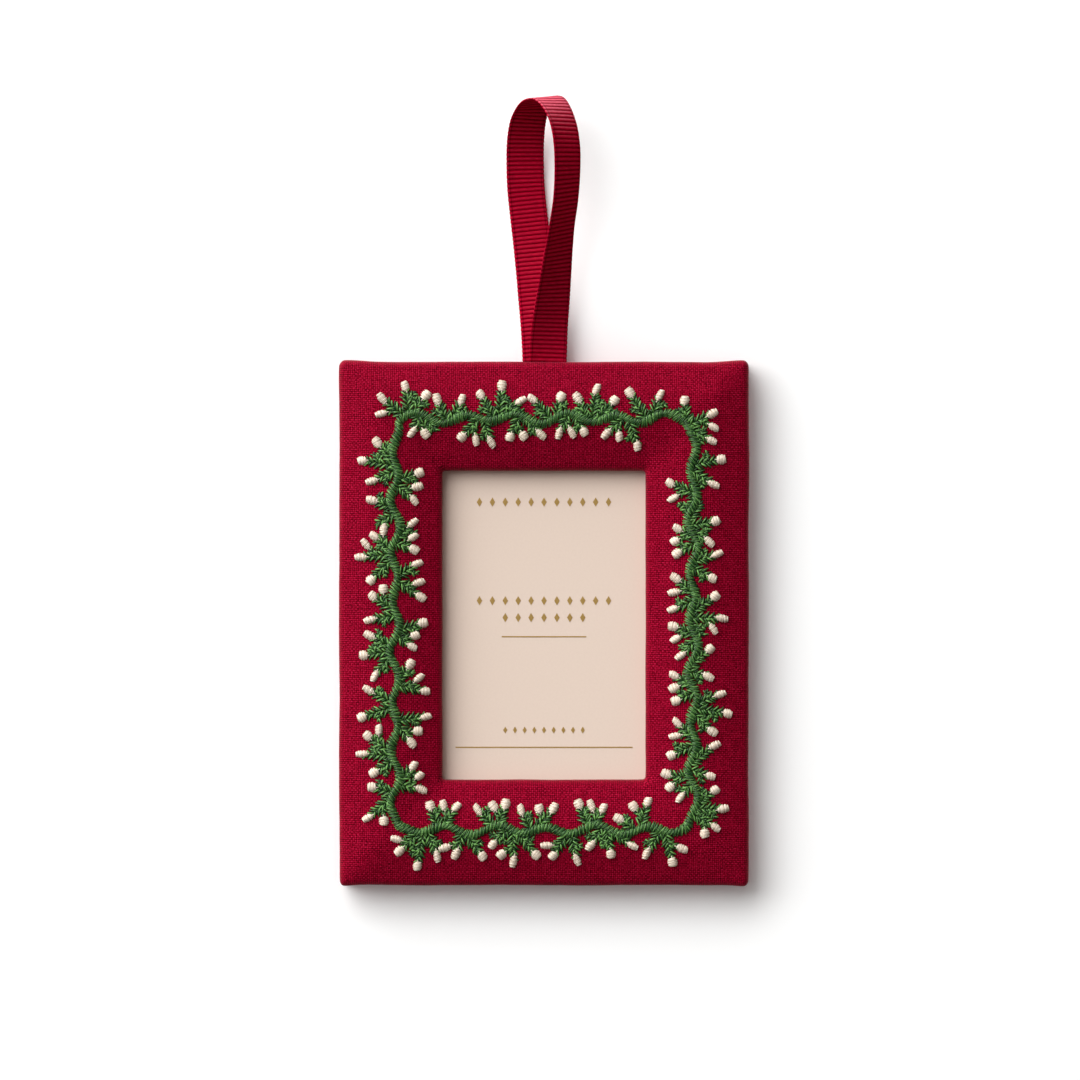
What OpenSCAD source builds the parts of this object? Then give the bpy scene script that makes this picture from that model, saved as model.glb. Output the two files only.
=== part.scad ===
// Hanging picture frame ornament: a linen-covered board with an embroidered
// vine border, a paper insert behind its window, and a loop of grosgrain ribbon.
// It is drawn as it hangs: +Z up, the front towards -Y, the origin at the middle
// of the frame's bottom. Millimetres.

/* [Frame] */
// Width of the covered frame
frame_w = 97.5; // [88:1:140]
// Height of the covered frame
frame_h = 124.5; // [115:1:180]
// Width of the window, between the cloth on its walls
window_w = 48; // [40:0.5:50]
// Height of the window, between the cloth on its walls
window_h = 73.5; // [60:0.5:75]
// How far the window's middle lies below the frame's middle
window_drop = 0.4; // [0:0.1:1.5]

/* [Front board] */
// Thickness of the front board
board_t = 4; // [2.5:0.1:6]
// Rounding of the front board's outer and window edges
board_edge_r = 1; // [0.6:0.1:1.2]

/* [Linen] */
// Thickness of the linen
cloth_t = 0.5; // [0.3:0.05:0.7]
// Corner radius of the covered boards, seen from the front
cover_corner_r = 1.1; // [0.6:0.1:1.5]
// How far the linen is turned in behind the outer edges
outer_turn_in = 9; // [6:0.5:9.5]
// How far the linen is turned in behind the window
window_turn_in = 6; // [4:0.5:6.5]

/* [Back board] */
// Thickness of the back board
back_t = 2.5; // [1.5:0.1:4]
// Rounding of the back board's outer edges
back_edge_r = 0.5; // [0.3:0.1:0.8]

/* [Pocket] */
// Thickness of the spacer, which is the depth of the pocket
pocket_t = 1.2; // [1.1:0.1:2.5]
// How far the spacer's edges lie inside the covered edges
spacer_inset = 1; // [0.5:0.1:2.5]
// Spare height of the pocket over the insert
pocket_clearance = 0.6; // [0.3:0.1:1]
// Spare width between the insert and the pocket's closed end
pocket_end_clearance = 0.2; // [0.1:0.1:0.5]

/* [Insert] */
// Width of the insert card
card_w = 50.8; // [50.8:0.1:54]
// Height of the insert card
card_h = 76.2; // [76.2:0.1:80]
// Thickness of the insert card
card_t = 0.4; // [0.2:0.05:0.8]
// Thickness of the foil marks on the insert card
foil_t = 0.05; // [0.03:0.01:0.1]
// Height of a foil mark in the tallest row
foil_mark_h = 2.2; // [1.4:0.1:2.6]

/* [Embroidery] */
// Distance of the vine's middle line from the frame's outer edges
vine_inset = 13.4; // [12.6:0.1:14]
// Corner radius of the vine's middle line
vine_corner_r = 2; // [1.5:0.5:6]
// Width of the satin-stitched stem
stem_w = 2.4; // [1.6:0.1:3]
// Height of the stem above the linen
stem_t = 0.75; // [0.4:0.05:1]
// How far the stem waves to each side
wave_h = 1.2; // [0.5:0.1:1.4]
// Length of one wave of the stem
wave_pitch = 12; // [9:0.5:20]
// Distance between sprigs, counted along the stem on one side
sprig_pitch = 11.6; // [11:0.2:16]
// Length of the middle twig of a sprig that points outwards
outer_twig = 6.3; // [4:0.1:6.4]
// Length of the longer twig of a sprig that points to the window
inner_twig = 5.2; // [3.4:0.1:5.4]
// Width of a stitched twig
twig_w = 1.35; // [0.9:0.1:1.5]
// Length of the bare side twigs
side_twig = 2.1; // [1.4:0.1:2.4]
// Height of the leaves above the linen
leaf_t = 0.45; // [0.3:0.05:0.6]
// Length of a berry
berry_l = 2.5; // [2:0.1:2.8]
// Width of a berry
berry_w = 2.1; // [1.6:0.1:2.4]
// Height of a berry above the linen
berry_t = 0.8; // [0.5:0.05:1.2]

/* [Ribbon] */
// Width of the grosgrain ribbon
ribbon_w = 9; // [6:0.5:12]
// Thickness of the grosgrain ribbon
ribbon_t = 0.45; // [0.3:0.05:0.45]
// Spare width at each side of the ribbon in its notch
notch_clearance = 0.6; // [0.4:0.1:3]

/* [Hidden] */

round_fn = 24;
// Cuts run this far past the faces that they open
past = 1;

// Heights of the layers over the frame's middle depth, growing towards the viewer
depth = 4 * cloth_t + back_t + pocket_t + board_t + berry_t;
back_face = -depth / 2;
back_board_face = back_face + cloth_t;
back_turn_face = back_board_face + back_t;
pocket_back = back_turn_face + cloth_t;
pocket_front = pocket_back + pocket_t;
front_board_face = pocket_front + cloth_t;
linen_face = front_board_face + board_t + cloth_t;

front_unit_t = board_t + 2 * cloth_t;
back_unit_t = back_t + 2 * cloth_t;

// The insert stands on the pocket's floor, level with the window
card_floor = -window_drop - card_h / 2;

// The vine's middle line: a rectangle with round corners
vine_w = frame_w - 2 * vine_inset;
vine_h = frame_h - 2 * vine_inset;
vine_run_x = vine_w - 2 * vine_corner_r;
vine_run_y = vine_h - 2 * vine_corner_r;
vine_bend = PI / 2 * vine_corner_r;
vine_len = 2 * (vine_run_x + vine_run_y) + 4 * vine_bend;
side_starts = [
    0,
    vine_run_x + vine_bend,
    vine_run_x + vine_run_y + 2 * vine_bend,
    2 * vine_run_x + vine_run_y + 3 * vine_bend
];
waves = round(vine_len / wave_pitch);
slow_waves = round(waves * 0.6);
sprigs_a_side = round(vine_len / sprig_pitch);
stem_steps = 5 * waves;
// Inner sprigs keep this far from the corners, along the vine
corner_reach = 5;
// Side twigs leave their twig at this angle, at these shares of its length
side_lean = 54;
left_foot = 0.4;
right_foot = 0.54;
// Twigs end this blunt, as a share of their width
blunt = 0.8;
// Twigs of one sprig start this far apart on the stem
root_pitch = 1;
// A berry's middle lies this far past its twig's end, as a share of its length
berry_out = 0.37;
// Berries keep this far from the stem and from each other
berry_gap = 0.1;
berry_sides = 5;
berry_taper = 0.62;

// Route of the ribbon's middle line from one glued end to the other: to the right,
// to the back and up from the slot in the top edge, then its width's turn and tilt
ribbon_route = [
    [-0.6, 0.3, -7, 0, 0],
    [-0.6, 0.3, 0, 0, 0],
    [-1.0, 0.8, 8, 0, 0],
    [-1.6, 1.5, 15, 0, 0],
    [-2.2, 2.1, 22, 2, 0],
    [-2.9, 2.6, 29, 3, 0],
    [-3.7, 2.8, 36, 4, 0],
    [-4.3, 2.7, 42, 5, 0],
    [-4.5, 2.2, 48, 7, 0],
    [-4.4, 1.0, 53, 10, 2],
    [-3.9, -0.9, 57, 14, 5],
    [-2.9, -3.3, 60, 19, 8],
    [-1.8, -6.0, 61.7, 24, 11],
    [-0.5, -8.7, 62.1, 28, 13],
    [1.3, -11.2, 61.3, 34, 12],
    [3.1, -13.3, 58.7, 39, 9],
    [4.6, -14.7, 54.8, 43, 5],
    [5.4, -15.2, 50, 46, 2],
    [5.5, -14.7, 44, 49, 0],
    [5.1, -13.2, 38, 51, 0],
    [4.2, -10.9, 32, 50, 0],
    [3.4, -8.4, 26, 44, 0],
    [2.7, -6.0, 20, 35, 0],
    [2.0, -3.8, 14, 25, 0],
    [1.3, -1.8, 8, 14, 0],
    [0.9, -0.3, 0, 0, 0],
    [0.9, -0.3, -7, 0, 0]
];
ribbon_cuts = 2;
ribbon_tail = 7;
// How far the glued ends lie to each side of the middle
ribbon_spread = 0.9;

// The slot between the boards, where the ribbon is glued in
slot_y = -(pocket_back + pocket_front) / 2;

// Repeatable unevenness from -1 to 1
function vary(i, k) = sin(137.5 * i + 71 * k);

// Stands a flat drawing up: its X stays, its Y becomes up and its Z faces the viewer
module upright() {
    translate([0, 0, frame_h / 2]) rotate([90, 0, 0]) children();
}

// What a rounded edge leaves out of a square corner, the board lying left and below
module edge_waste(edge_r) {
    difference() {
        translate([-edge_r, -edge_r]) square(edge_r + past);
        translate([-edge_r, -edge_r]) circle(edge_r, $fn = round_fn);
    }
}

// Section across a board, both its front edges rounded
module board_section(w, t, edge_r) {
    difference() {
        translate([-w / 2, 0]) square([w, t]);
        for (side = [0, 1]) mirror([side, 0]) translate([w / 2, t]) edge_waste(edge_r);
    }
}

// Section across a window's waste, both its front rims rounded
module window_section(w, t, edge_r) {
    translate([-w / 2, -past]) square([w, t + 2 * past]);
    for (side = [0, 1])
        mirror([side, 0]) translate([w / 2, t]) mirror([1, 0]) edge_waste(edge_r);
}

// What two sections share when they are drawn out crosswise, so that they meet in mitres
module mitred(size) {
    intersection() {
        rotate([90, 0, 0]) linear_extrude(size.y, center = true) children(0);
        rotate([90, 0, 90]) linear_extrude(size.x, center = true) children(1);
    }
}

// Board with its front edges rounded
module slab(size, t, edge_r) {
    mitred(size) {
        board_section(size.x, t, edge_r);
        board_section(size.y, t, edge_r);
    }
}

// Window through a board, with its front rim rounded
module window_cutter(size, t, edge_r) {
    reach = 2 * (edge_r + past);
    mitred([size.x + reach, size.y + reach]) {
        window_section(size.x, t, edge_r);
        window_section(size.y, t, edge_r);
    }
}

// Outline of a covered board, its corners rounded by the cloth
module cover_outline() {
    square([frame_w - 2 * cover_corner_r, frame_h], center = true);
    square([frame_w, frame_h - 2 * cover_corner_r], center = true);
    for (x = [-1, 1], y = [-1, 1])
        translate([x * (frame_w / 2 - cover_corner_r), y * (frame_h / 2 - cover_corner_r)])
            circle(cover_corner_r, $fn = round_fn);
}

// Covered board from outside, its back at height 0
module covered_slab(t, edge_r) {
    intersection() {
        slab([frame_w, frame_h], t, edge_r);
        linear_extrude(t) cover_outline();
    }
}

// The front board as it lies inside the linen, its back at height 0
module front_board_body() {
    difference() {
        slab([frame_w - 2 * cloth_t, frame_h - 2 * cloth_t], board_t, board_edge_r);
        translate([0, -window_drop, 0])
            window_cutter([window_w + 2 * cloth_t, window_h + 2 * cloth_t], board_t, board_edge_r);
    }
}

module front_board() {
    color("tan") upright() translate([0, 0, front_board_face]) front_board_body();
}

// Linen over the face, the outer edges and the window walls, turned in behind
module front_cover() {
    color("crimson") upright() difference() {
        translate([0, 0, pocket_front]) covered_slab(front_unit_t, board_edge_r + cloth_t);
        translate([0, -window_drop, pocket_front])
            window_cutter([window_w, window_h], front_unit_t, board_edge_r + cloth_t);
        translate([0, 0, front_board_face]) front_board_body();
        translate([0, 0, pocket_front - past]) linear_extrude(cloth_t + 2 * past) difference() {
            square([frame_w - 2 * outer_turn_in, frame_h - 2 * outer_turn_in], center = true);
            translate([0, -window_drop])
                square([window_w + 2 * window_turn_in, window_h + 2 * window_turn_in], center = true);
        }
    }
}

// The back board as it lies inside its linen, its inner face at height 0
module back_board_body() {
    slab([frame_w - 2 * cloth_t, frame_h - 2 * cloth_t], back_t, back_edge_r);
}

// Turns a body around so that its rounded face looks to the back
module facing_back(height) {
    translate([0, 0, height]) mirror([0, 0, 1]) children();
}

module back_board() {
    color("tan") upright() facing_back(back_turn_face) back_board_body();
}

// Linen over the back and its edges, turned in on the inner face
module back_cover() {
    color("crimson") upright() facing_back(back_turn_face) difference() {
        translate([0, 0, -cloth_t]) covered_slab(back_unit_t, back_edge_r + cloth_t);
        back_board_body();
        translate([0, 0, -cloth_t - past]) linear_extrude(cloth_t + 2 * past)
            square([frame_w - 2 * outer_turn_in, frame_h - 2 * outer_turn_in], center = true);
    }
}

// Card between the boards: open to the right for the insert, notched for the ribbon
module spacer() {
    color("silver") upright() translate([0, 0, pocket_back]) linear_extrude(pocket_t) difference() {
        square([frame_w - 2 * spacer_inset, frame_h - 2 * spacer_inset], center = true);
        translate([-card_w / 2 - pocket_end_clearance, card_floor])
            square([frame_w, card_h + pocket_clearance]);
        translate([0, frame_h / 2])
            square([ribbon_w + 2 * (notch_clearance + ribbon_spread), 2 * (ribbon_tail + past)],
                   center = true);
    }
}

// Paper insert, leaning on the linen around the window
module insert_card() {
    color("mistyrose") upright() translate([-card_w / 2, card_floor, pocket_front - card_t])
        cube([card_w, card_h, card_t]);
}

// Row of lozenges printed in foil, its middle at the given height over the card's middle
module foil_row(height, count, mark_h) {
    pitch = 1.4 * mark_h;
    for (i = [0:count - 1])
        translate([(i - (count - 1) / 2) * pitch, height])
            polygon([[-0.3 * mark_h, 0], [0, mark_h / 2], [0.3 * mark_h, 0], [0, -mark_h / 2]]);
}

// Gold foil printed on the insert: four rows of lozenges and two fine rules
module card_foil() {
    color("goldenrod") upright() translate([0, -window_drop, pocket_front]) linear_extrude(foil_t) {
        foil_row(0.4 * window_h, 11, foil_mark_h);
        foil_row(0.08 * window_h, 11, foil_mark_h);
        foil_row(0.025 * window_h, 7, foil_mark_h);
        foil_row(-0.34 * window_h, 9, 0.75 * foil_mark_h);
        translate([0, -0.037 * window_h]) square([0.42 * window_w, 0.3], center = true);
        translate([0, -0.396 * window_h]) square([0.88 * window_w, 0.3], center = true);
    }
}

// Side of the vine's rectangle that a place along it lies on: top, right, bottom, left
function side_of(s) = s < side_starts[1] ? 0 : s < side_starts[2] ? 1 : s < side_starts[3] ? 2 : 3;

// Point of the vine's middle line, clockwise from its top left, and its outward angle
function line_at(s) =
    let (
        u = s - vine_len * floor(s / vine_len),
        side = side_of(u),
        along = u - side_starts[side],
        run = side % 2 == 0 ? vine_run_x : vine_run_y,
        reach = (side % 2 == 0 ? vine_run_y : vine_run_x) / 2,
        turn = max(0, along - run) / vine_corner_r * 180 / PI,
        x = min(along, run) - run / 2 + vine_corner_r * sin(turn),
        y = reach + vine_corner_r * cos(turn),
        back = -90 * side
    )
    [x * cos(back) - y * sin(back), x * sin(back) + y * cos(back), 90 - turn + back];

function wave(s) =
    wave_h * (0.8 * sin(360 * waves * s / vine_len) + 0.3 * sin(360 * slow_waves * s / vine_len + 50));

// Point of the waving stem
function stem_at(s) =
    let (at = line_at(s))
    [at.x + wave(s) * cos(at.z), at.y + wave(s) * sin(at.z)];

// One edge of the stem, side 1 for the outer edge and -1 for the inner one
function stem_edge(side) = [
    for (i = [0:stem_steps - 1])
        let (
            s = i * vine_len / stem_steps,
            ahead = stem_at(s + 0.3) - stem_at(s - 0.3),
            half = stem_w / 2 * (1 + 0.1 * vary(i, 2))
        )
        stem_at(s) + side * half * [-ahead.y, ahead.x] / norm(ahead)
];

module stem_outline() {
    edge = [for (i = [0:stem_steps - 1]) i];
    polygon(
        points = concat(stem_edge(1), stem_edge(-1)),
        paths = [edge, [for (i = edge) stem_steps + i]]
    );
}

// Twigs of a sprig, as their lean along the vine and their share of the full length.
// Sprigs of the first and of the second kind take turns.
outer_forks = [[[-38, 0.86], [0, 1], [38, 0.8]], [[-26, 0.96], [24, 0.78]]];
inner_forks = [[[-36, 0.84], [26, 1]], [[-26, 1], [38, 0.8]]];
function fork_at(j, side) = (side > 0 ? outer_forks : inner_forks)[j % 2];

// One twig: its root on the stem, its angle, its reach, a number and its root's
// place along the vine
function twig(j, k, side) =
    let (
        forks = fork_at(j, side),
        fork = forks[k],
        middle = (j + (side > 0 ? 0 : 0.5) + 0.12 * vary(j, side)) * vine_len / sprigs_a_side,
        s = middle + root_pitch * (k - (len(forks) - 1) / 2),
        lean = fork[0] + 14 * vary(j, 3 * side) + 6 * vary(j, k + 4 * side),
        share = fork[1] * (1 + 0.15 * vary(j, k + 7 * side)),
        reach = share * (side > 0 ? outer_twig : inner_twig),
        outward = line_at(s).z
    )
    [stem_at(s), outward + (side > 0 ? -lean : 180 + lean), reach, 3 * j + k, s];

// Sprigs would crowd on the inner side of a corner, so none grows there
function is_cornered(s) = abs(line_at(s + corner_reach).z - line_at(s - corner_reach).z) % 360 > 1;

twigs = [
    for (j = [0:sprigs_a_side - 1]) each concat(
        [for (k = [0:len(fork_at(j, 1)) - 1]) twig(j, k, 1)],
        is_cornered((j + 0.5) * vine_len / sprigs_a_side)
            ? [] : [for (k = [0:len(fork_at(j, -1)) - 1]) twig(j, k, -1)]
    )
];

// Two twigs of three have a side twig to the left, side 1, and two of three one to
// the right, side -1. They are of uneven length and taper to a blunt end.
function has_side(j, side) = j % 3 != (side > 0 ? 1 : 0);
function side_ahead(side) = [cos(side_lean), side * sin(side_lean)];
function side_across(side) = [sin(side_lean), -side * cos(side_lean)];
function side_root(reach, side) = [(side > 0 ? left_foot : right_foot) * reach, side * twig_w / 2];
function side_tip(reach, j, side) =
    side_root(reach, side) + side_twig * (1 + 0.15 * vary(j, side > 0 ? 1 : 5)) * side_ahead(side);

function side_twig_points(reach, j, side) =
    let (root = side_root(reach, side), tip = side_tip(reach, j, side))
    [root, tip, tip + blunt * twig_w * side_across(side), root + [twig_w / sin(side_lean), 0]];

// Twig with its side twigs, growing along X from its root
module twig_outline(reach, j) {
    right = side_twig_points(reach, j, -1);
    polygon(concat(
        [[0, 0.7 * twig_w]],
        has_side(j, 1) ? side_twig_points(reach, j, 1) : [],
        [[reach, blunt / 2 * twig_w], [reach, -blunt / 2 * twig_w]],
        has_side(j, -1) ? [for (k = [3:-1:0]) right[k]] : [],
        [[0, -0.7 * twig_w]]
    ));
}

module berry_outline() {
    polygon([
        for (i = [0:berry_sides - 1])
            let (angle = i * 360 / berry_sides)
            [berry_l / 2 * cos(angle), berry_w / 2 * sin(angle)]
    ]);
}

// A berry's middle, its angle, and its root's place along the vine, for the end of a
// twig and for the end of a side twig
function end_berry(twig) = [
    twig[0] + (twig[2] + berry_out * berry_l) * [cos(twig[1]), sin(twig[1])],
    twig[1] + 12 * vary(twig[3], 4), twig[4]
];
function side_berry(twig, side) =
    let (
        at = side_tip(twig[2], twig[3], side) + blunt / 2 * twig_w * side_across(side)
            + berry_out * berry_l * side_ahead(side),
        c = cos(twig[1]),
        s = sin(twig[1])
    )
    [twig[0] + [at.x * c - at.y * s, at.x * s + at.y * c], twig[1] + side * side_lean, twig[4]];

berries = concat(
    [for (twig = twigs) end_berry(twig)],
    [for (twig = twigs, side = [1, -1]) if (has_side(twig[3], side)) side_berry(twig, side)]
);

// A berry is left out where it would lie on the stem or on one before it
function has_berry(n) =
    let (
        middle = berries[n][0],
        s = berries[n][2],
        to_stem = min([for (step = [-12:0.5:12]) norm(stem_at(s + step) - middle)]),
        to_berries = min([frame_h, for (i = [0:1:n - 1]) norm(berries[i][0] - middle)])
    )
    to_stem > (stem_w + berry_l) / 2 + berry_gap && to_berries > berry_l + berry_gap;

module at_berries() {
    for (n = [0:len(berries) - 1])
        if (has_berry(n))
            translate(berries[n][0]) rotate(berries[n][1]) children();
}

module on_linen() {
    upright() translate([0, 0, linen_face]) children();
}

module vine_stem() {
    color("forestgreen") on_linen() linear_extrude(stem_t) stem_outline();
}

module vine_leaves() {
    color("darkgreen") on_linen() linear_extrude(leaf_t) difference() {
        for (twig = twigs)
            translate(twig[0]) rotate(twig[1]) twig_outline(twig[2], twig[3]);
        stem_outline();
        at_berries() berry_outline();
    }
}

module vine_berries() {
    color("ivory") on_linen() at_berries()
        linear_extrude(berry_t, scale = berry_taper) berry_outline();
}

// Place and turn of the ribbon between two points of its route, on a smooth curve
function route_point(i) = ribbon_route[max(0, min(len(ribbon_route) - 1, i))];
function route_at(i, t) =
    let (a = route_point(i - 1), b = route_point(i), c = route_point(i + 1), d = route_point(i + 2))
    b + t / 2 * ((c - a) + t * ((2 * a - 5 * b + 4 * c - d) + t * (3 * b - a - 3 * c + d)));

ribbon_rings = concat(
    [for (i = [0:len(ribbon_route) - 2], k = [0:ribbon_cuts - 1]) route_at(i, k / ribbon_cuts)],
    [ribbon_route[len(ribbon_route) - 1]]
);

function place(ring) = [ring[0], ring[1], ring[2]];

// Corners of the ribbon's section at one ring
function ring_corners(i) =
    let (
        last = len(ribbon_rings) - 1,
        ahead = place(ribbon_rings[min(i + 1, last)]) - place(ribbon_rings[max(i - 1, 0)]),
        along = ahead / norm(ahead),
        turn = ribbon_rings[i][3],
        tilt = ribbon_rings[i][4],
        turned = [cos(turn) * cos(tilt), sin(turn) * cos(tilt), sin(tilt)],
        level = turned - (turned * along) * along,
        across = level / norm(level),
        through = cross(across, along)
    )
    [
        for (corner = [[1, 1], [-1, 1], [-1, -1], [1, -1]])
            place(ribbon_rings[i]) + corner.x * ribbon_w / 2 * across + corner.y * ribbon_t / 2 * through
    ];

// One length of ribbon, folded to a loop, its two ends glued between the boards
module hanging_ribbon() {
    rings = len(ribbon_rings);
    last = 4 * (rings - 1);
    color("firebrick") translate([0, slot_y, frame_h]) polyhedron(
        points = [for (i = [0:rings - 1]) each ring_corners(i)],
        faces = concat(
            [[0, 1, 2, 3], [last + 3, last + 2, last + 1, last]],
            [
                for (i = [0:rings - 2], k = [0:3])
                    let (a = 4 * i + k, b = 4 * i + (k + 1) % 4)
                    each [[a, a + 4, b + 4], [a, b + 4, b]]
            ]
        )
    );
}

front_board();
front_cover();
vine_stem();
vine_leaves();
vine_berries();
spacer();
insert_card();
card_foil();
back_board();
back_cover();
hanging_ribbon();
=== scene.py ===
"""Hanging picture frame ornament: linen-covered boards, an embroidered berry vine, a printed
insert behind the window and a grosgrain ribbon loop. Metres, +Z up, the front towards -Y."""

import math

import bmesh
import bpy
import numpy as np
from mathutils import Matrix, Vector, noise


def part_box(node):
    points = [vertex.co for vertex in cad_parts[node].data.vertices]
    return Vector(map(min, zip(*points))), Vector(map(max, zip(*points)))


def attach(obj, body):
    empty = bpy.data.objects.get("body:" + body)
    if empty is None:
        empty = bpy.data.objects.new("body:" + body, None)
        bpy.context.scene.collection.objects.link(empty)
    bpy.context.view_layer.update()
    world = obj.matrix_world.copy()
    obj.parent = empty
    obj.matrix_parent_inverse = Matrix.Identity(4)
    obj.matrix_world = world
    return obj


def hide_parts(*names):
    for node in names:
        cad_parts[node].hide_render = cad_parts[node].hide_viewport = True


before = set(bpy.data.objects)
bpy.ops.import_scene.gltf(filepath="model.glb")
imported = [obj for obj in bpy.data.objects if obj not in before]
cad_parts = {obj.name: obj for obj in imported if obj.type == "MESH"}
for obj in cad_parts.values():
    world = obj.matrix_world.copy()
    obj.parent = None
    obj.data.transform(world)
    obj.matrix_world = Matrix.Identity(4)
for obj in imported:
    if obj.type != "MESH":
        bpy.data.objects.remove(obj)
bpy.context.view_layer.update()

bpy.ops.object.select_all(action="DESELECT")

# The photograph is taken square to the frame's front, from about 1.1 m away with a
# long lens. Its width takes in 256.5 mm at the linen face.
linen_face = -0.00445
camera_distance = 1.1
view_width = 0.2565
view_middle_x = -0.00095
view_middle_z = 0.0822
sensor = 36.0

bpy.ops.object.camera_add(
    location=(view_middle_x, linen_face - camera_distance, view_middle_z),
    rotation=(math.pi / 2, 0, 0),
)
camera = bpy.context.object
camera.data.sensor_width = sensor
camera.data.lens = sensor * camera_distance / view_width
camera.data.clip_start = 0.05
camera.data.clip_end = 20
bpy.context.scene.camera = camera
bpy.context.scene.view_settings.view_transform = "Standard"

# The hanging ribbon is red grosgrain, 9 mm wide: ribs run across it, and a narrow
# selvedge binds each side. One length is folded to a loop that stands in its own
# curl, and its two ends are glued between the boards.
ribbon_foot = Vector((0, 0.00115, 0.1245))
ribbon_width = 0.009
ribbon_thickness = 0.00045
rib_pitch = 0.00105
rings_a_rib = 6
selvedge_width = 0.0007
rib_fullness = 0.8
rib_bulge = 0.0001
# The share of its thickness that a groove keeps, and that the selvedge loses beside a rib
groove_share = 0.48
selvedge_dip = 0.2
warp_pitch = 0.00028
# To the right, to the back and up from the foot, in millimetres, then the width's
# turn and tilt in degrees
ribbon_route = [
    (-0.6, 0.3, -7, 0, 0),
    (-0.6, 0.3, 0, 0, 0),
    (-1.0, 0.8, 8, 0, 0),
    (-1.6, 1.5, 15, 0, 0),
    (-2.2, 2.1, 22, 2, 0),
    (-2.9, 2.6, 29, 3, 0),
    (-3.7, 2.8, 36, 4, 0),
    (-4.3, 2.7, 42, 5, 0),
    (-4.5, 2.2, 48, 7, 0),
    (-4.4, 1.0, 53, 10, 2),
    (-3.9, -0.9, 57, 14, 5),
    (-2.9, -3.3, 60, 19, 8),
    (-1.8, -6.0, 61.8, 23, 10),
    (-0.5, -8.7, 62.4, 26, 8),
    (1.3, -11.2, 61.9, 31, 2),
    (3.1, -13.3, 59.5, 36, -6),
    (4.6, -14.7, 55.6, 42, -10),
    (5.4, -15.2, 50.5, 46, -8),
    (5.5, -14.7, 44.2, 49, -5),
    (5.1, -13.2, 38, 51, -3),
    (4.2, -10.9, 32, 50, 0),
    (3.4, -8.4, 26, 44, 0),
    (2.7, -6.0, 20, 35, 0),
    (2.0, -3.8, 14, 25, 0),
    (1.3, -1.8, 8, 14, 0),
    (0.9, -0.3, 0, 0, 0),
    (0.9, -0.3, -7, 0, 0),
]


def smooth_route(points, cuts):
    """The points again, with more between them on a curve through them all."""
    p = np.array(points, float)
    p = np.vstack([p[0], p, p[-1]])
    made = []
    for a, b, c, d in zip(p, p[1:], p[2:], p[3:]):
        for t in np.linspace(0, 1, cuts, endpoint=False):
            made.append(
                b + t / 2 * ((c - a) + t * ((2 * a - 5 * b + 4 * c - d) + t * (3 * b - a - 3 * c + d)))
            )
    made.append(p[-1])
    return np.array(made)


def evenly_spaced(line, step):
    """The line's places again, the same distance apart, and how far along each one lies."""
    gone = np.concatenate([[0], np.cumsum(np.linalg.norm(np.diff(line[:, :3], axis=0), axis=1))])
    along = np.linspace(0, gone[-1], round(gone[-1] / step) + 1)
    return np.stack([np.interp(along, gone, line[:, k]) for k in range(line.shape[1])], axis=1), along


def new_mesh_piece(name, points, faces, uv):
    """A piece made of points and faces, with one pair of UV numbers for each point."""
    mesh = bpy.data.meshes.new(name)
    mesh.from_pydata([tuple(p) for p in points], [], faces)
    corners = np.empty(len(mesh.loops), int)
    mesh.loops.foreach_get("vertex_index", corners)
    mesh.uv_layers.new(name="UVMap").data.foreach_set("uv", np.asarray(uv, float)[corners].ravel())
    mesh.shade_smooth()
    piece = bpy.data.objects.new(name, mesh)
    bpy.context.collection.objects.link(piece)
    return piece


route = smooth_route(ribbon_route, 12)
route[:, :3] = route[:, :3] / 1000 + np.array(ribbon_foot)
rings, along = evenly_spaced(route, rib_pitch / rings_a_rib)
# Places across one face, from edge to edge: 1 is the selvedge's outer side
across_places = np.array([1, 0.97, 0.9, 0.84, 0.6, 0.3, 0, -0.3, -0.6, -0.84, -0.9, -0.97, -1])
selvedge_start = 1 - 2 * selvedge_width / ribbon_width
ribbon_points = []
ribbon_uv = []
for i, ring in enumerate(rings):
    ahead = rings[min(i + 1, len(rings) - 1)][:3] - rings[max(i - 1, 0)][:3]
    ahead /= np.linalg.norm(ahead)
    turn, tilt = np.radians(ring[3:5])
    across = np.array([math.cos(turn) * math.cos(tilt), math.sin(turn) * math.cos(tilt), math.sin(tilt)])
    across -= across.dot(ahead) * ahead
    across /= np.linalg.norm(across)
    through = np.cross(across, ahead)
    rib = abs(math.sin(math.pi * along[i] / rib_pitch)) ** rib_fullness
    for side in (1, -1):
        for place in across_places[::side]:
            if side < 0 and abs(place) == 1:
                continue
            on_selvedge = abs(place) > selvedge_start
            thick = 1 - selvedge_dip * rib if on_selvedge else groove_share + (1 - groove_share) * rib
            if abs(place) == 1:
                thick = 0
            wide = ribbon_width / 2 + rib_bulge * (rib - 0.5) * (abs(place) > 0.95)
            up = side * thick * ribbon_thickness / 2
            ribbon_points.append(ring[:3] + place * wide * across + up * through)
            ribbon_uv.append((place * ribbon_width / 2 * 1000, along[i] * 1000))
ring_size = 2 * len(across_places) - 2
ribbon_faces = [
    (i * ring_size + k, i * ring_size + (k + 1) % ring_size,
     (i + 1) * ring_size + (k + 1) % ring_size, (i + 1) * ring_size + k)
    for i in range(len(rings) - 1)
    for k in range(ring_size)
]
last_ring = (len(rings) - 1) * ring_size
ribbon_faces.append(tuple(range(ring_size))[::-1])
ribbon_faces.append(tuple(range(last_ring, last_ring + ring_size)))
ribbon = new_mesh_piece("grosgrain_ribbon", ribbon_points, ribbon_faces, ribbon_uv)
bpy.ops.object.select_all(action="DESELECT")
bpy.context.view_layer.objects.active = ribbon
ribbon.select_set(True)
bpy.ops.object.mode_set(mode="EDIT")
bpy.ops.mesh.select_all(action="SELECT")
bpy.ops.mesh.normals_make_consistent(inside=False)
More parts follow.
